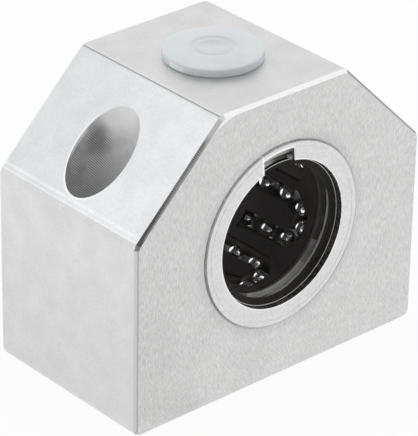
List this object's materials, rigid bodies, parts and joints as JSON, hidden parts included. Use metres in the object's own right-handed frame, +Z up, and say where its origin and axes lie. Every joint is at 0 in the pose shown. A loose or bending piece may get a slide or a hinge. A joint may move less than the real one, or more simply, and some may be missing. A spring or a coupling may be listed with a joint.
{
  "type": "linear bearing block",
  "caption": "Metal block with sloping shoulders that carries a recirculating ball bearing along a round shaft, with a fixing hole through each shoulder.",
  "frame": {"origin": "middle of the block's base face", "axes": "+X across the block from fixing hole to fixing hole, +Y along the shaft, +Z up from the base"},
  "size_m": [0.053, 0.0304, 0.0465],
  "materials": {
    "housing_metal": "milled and extruded, pale satin",
    "plug_plastic": "milky white, slightly see-through",
    "sleeve_steel": "ground",
    "ring_steel": "bright satin",
    "seal_rubber": "black, slight sheen",
    "cage_plastic": "black moulded",
    "plate_steel": "hardened and ground",
    "ball_steel": "polished"
  },
  "bodies": {
    "block": {"housing": "housing_metal", "outer_sleeve": "sleeve_steel", "front_holding_ring": "ring_steel", "rear_holding_ring": "ring_steel", "front_wiper_seal": "seal_rubber", "rear_wiper_seal": "seal_rubber", "ball_cage": "cage_plastic", "raceway_plate_1": "plate_steel", "raceway_plate_2": "plate_steel", "raceway_plate_3": "plate_steel", "raceway_plate_4": "plate_steel", "raceway_plate_5": "plate_steel", "raceway_plate_6": "plate_steel", "ball_circuit_1": "ball_steel", "ball_circuit_2": "ball_steel", "ball_circuit_3": "ball_steel", "ball_circuit_4": "ball_steel", "ball_circuit_5": "ball_steel", "ball_circuit_6": "ball_steel"},
    "plug": {"cover_plug": "plug_plastic"}
  },
  "joints": [
    {"name": "plug_pull", "type": "slide", "parent": "block", "child": "plug", "axis": [0, 0, 1], "range_m": [0, 0.015]}
  ]
}
